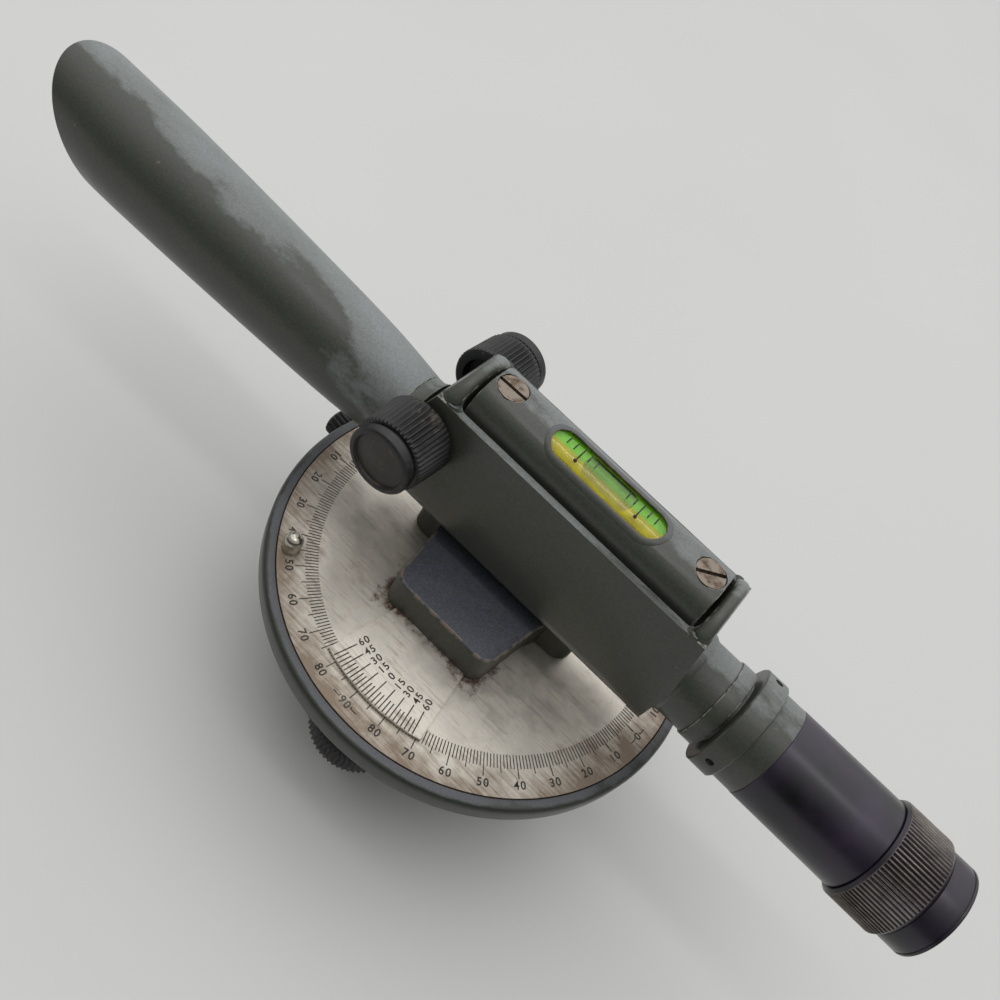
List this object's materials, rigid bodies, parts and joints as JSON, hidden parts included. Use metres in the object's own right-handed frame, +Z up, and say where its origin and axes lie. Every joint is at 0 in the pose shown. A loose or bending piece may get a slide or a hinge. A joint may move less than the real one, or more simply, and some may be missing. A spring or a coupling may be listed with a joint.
{
  "type": "surveying level with horizontal circle",
  "caption": "Builder's transit-style level: focusing telescope with a top vial on a graduated circle with a vernier, on a levelling head with foot screws and a tripod thread.",
  "frame": {"origin": "middle of the tripod thread at the foot's lower face", "axes": "+X along the telescope to the eyepiece, -Y to the vernier, +Z up"},
  "size_m": [0.2696, 0.111, 0.0989],
  "materials": {
    "grey_paint": "satin",
    "dark_paint": "satin",
    "black_plastic": "ribbed",
    "black_enamel": "gloss",
    "worn_brass": "knurled, worn black finish",
    "silvered": "satin, stained",
    "bronze": "turned",
    "steel": "turned",
    "polished_steel": "polished",
    "nylon": "smooth",
    "optical_glass": "clear",
    "vial_plastic": "clear",
    "spirit": "clear liquid"
  },
  "bodies": {
    "foot": {"foot_plate": "grey_paint", "ball_retainer": "bronze"},
    "ball_seat": {"ball_liner": "nylon"},
    "head": {"centre_socket": "bronze", "levelling_head": "grey_paint", "circle_pan": "grey_paint", "pan_screws": "steel", "spindle_retainer": "steel"},
    "circle": {"circle_plate": "silvered", "finger_pin": "polished_steel"},
    "brake": {"clamp_plug": "bronze"},
    "clamp": {"clamp_screw": "steel", "clamp_knob": "black_plastic"},
    "alidade": {"spindle": "steel", "spindle_screws": "steel", "pedestal": "dark_paint", "vernier_plate": "silvered", "body_screws": "steel", "telescope_body": "grey_paint", "objective_tube": "grey_paint", "objective_lens": "optical_glass", "objective_ring": "black_enamel", "pinion_bushes": "bronze", "sleeve_ring": "grey_paint", "reticle_collar": "grey_paint", "reticle_ring": "bronze", "reticle_glass": "optical_glass", "reticle_screws": "bronze", "eyepiece_tube": "black_enamel", "vial_holder": "grey_paint", "vial_tube": "vial_plastic", "vial_spirit": "spirit", "vial_screws": "steel"},
    "focus_drive": {"pinion_shaft": "steel", "focus_knob_near": "black_plastic", "focus_knob_far": "black_plastic"},
    "focus_carriage": {"focus_slide": "bronze", "focus_rack": "bronze", "focus_lens": "optical_glass"},
    "dioptre": {"dioptre_ring": "worn_brass"},
    "ocular": {"ocular_barrel": "black_enamel", "eye_cap": "black_enamel", "field_lens": "optical_glass", "eye_lens": "optical_glass"},
    "shoe_1": {"levelling_shoe_1": "bronze"},
    "screw_1": {"levelling_screw_1": "steel", "levelling_knob_1": "black_plastic"},
    "shoe_2": {"levelling_shoe_2": "bronze"},
    "screw_2": {"levelling_screw_2": "steel", "levelling_knob_2": "black_plastic"},
    "shoe_3": {"levelling_shoe_3": "bronze"},
    "screw_3": {"levelling_screw_3": "steel", "levelling_knob_3": "black_plastic"},
    "shoe_4": {"levelling_shoe_4": "bronze"},
    "screw_4": {"levelling_screw_4": "steel", "levelling_knob_4": "black_plastic"}
  },
  "joints": [
    {"name": "tilt_x", "type": "hinge", "parent": "foot", "child": "ball_seat", "pos_m": [0, 0, 0.0205], "axis": [1, 0, 0], "range_deg": [-3, 3]},
    {"name": "tilt_y", "type": "hinge", "parent": "ball_seat", "child": "head", "pos_m": [0, 0, 0.0205], "axis": [0, 1, 0], "range_deg": [-3, 3]},
    {"name": "shoe_1_travel", "type": "slide", "parent": "head", "child": "shoe_1", "axis": [0, 0, 1], "range_m": [-0.00194, 0.00194]},
    {"name": "screw_1_turn", "type": "hinge", "parent": "shoe_1", "child": "screw_1", "pos_m": [0.037, 0, 0.023], "axis": [0, 0, 1], "range_deg": [-465, 465]},
    {"name": "shoe_2_travel", "type": "slide", "parent": "head", "child": "shoe_2", "axis": [0, 0, 1], "range_m": [-0.00194, 0.00194]},
    {"name": "screw_2_turn", "type": "hinge", "parent": "shoe_2", "child": "screw_2", "pos_m": [0, 0.037, 0.023], "axis": [0, 0, 1], "range_deg": [-465, 465]},
    {"name": "shoe_3_travel", "type": "slide", "parent": "head", "child": "shoe_3", "axis": [0, 0, 1], "range_m": [-0.00194, 0.00194]},
    {"name": "screw_3_turn", "type": "hinge", "parent": "shoe_3", "child": "screw_3", "pos_m": [-0.037, 0, 0.023], "axis": [0, 0, 1], "range_deg": [-465, 465]},
    {"name": "shoe_4_travel", "type": "slide", "parent": "head", "child": "shoe_4", "axis": [0, 0, 1], "range_m": [-0.00194, 0.00194]},
    {"name": "screw_4_turn", "type": "hinge", "parent": "shoe_4", "child": "screw_4", "pos_m": [0, -0.037, 0.023], "axis": [0, 0, 1], "range_deg": [-465, 465]},
    {"name": "circle_turn", "type": "hinge", "parent": "head", "child": "circle", "pos_m": [0, 0, 0.04604], "axis": [0, 0, 1], "continuous": true},
    {"name": "telescope_turn", "type": "hinge", "parent": "head", "child": "alidade", "pos_m": [0, 0, 0.04604], "axis": [0, 0, 1], "continuous": true},
    {"name": "clamp_travel", "type": "slide", "parent": "head", "child": "brake", "axis": [0.9903, -0.1392, 0], "range_m": [0, 0.00045]},
    {"name": "clamp_turn", "type": "hinge", "parent": "brake", "child": "clamp", "pos_m": [-0.04951, 0.00696, 0.03824], "axis": [0.9903, -0.1392, 0], "range_deg": [0, 162]},
    {"name": "focus_turn", "type": "hinge", "parent": "alidade", "child": "focus_drive", "pos_m": [-0.0308, 0, 0.08164], "axis": [0, 1, 0], "range_deg": [-163, 163]},
    {"name": "focus_travel", "type": "slide", "parent": "alidade", "child": "focus_carriage", "axis": [1, 0, 0], "range_m": [-0.008, 0.008]},
    {"name": "dioptre_turn", "type": "hinge", "parent": "alidade", "child": "dioptre", "pos_m": [0.1, 0, 0.07114], "axis": [1, 0, 0], "range_deg": [0, 240]},
    {"name": "ocular_travel", "type": "slide", "parent": "alidade", "child": "ocular", "axis": [1, 0, 0], "range_m": [0, 0.00398]}
  ],
  "couplings": [
    {"joint": "screw_1_turn", "follows": "tilt_y", "ratio": 154.99},
    {"joint": "shoe_1_travel", "follows": "tilt_y", "m_per_rad": 0.037},
    {"joint": "screw_3_turn", "follows": "tilt_y", "ratio": -154.99},
    {"joint": "shoe_3_travel", "follows": "tilt_y", "m_per_rad": -0.037},
    {"joint": "screw_2_turn", "follows": "tilt_x", "ratio": -154.99},
    {"joint": "shoe_2_travel", "follows": "tilt_x", "m_per_rad": -0.037},
    {"joint": "screw_4_turn", "follows": "tilt_x", "ratio": 154.99},
    {"joint": "shoe_4_travel", "follows": "tilt_x", "m_per_rad": 0.037},
    {"joint": "clamp_turn", "follows": "clamp_travel", "rad_per_m": 6283.2},
    {"joint": "focus_travel", "follows": "focus_turn", "m_per_rad": -0.0028},
    {"joint": "dioptre_turn", "follows": "ocular_travel", "rad_per_m": 1052.6}
  ]
}
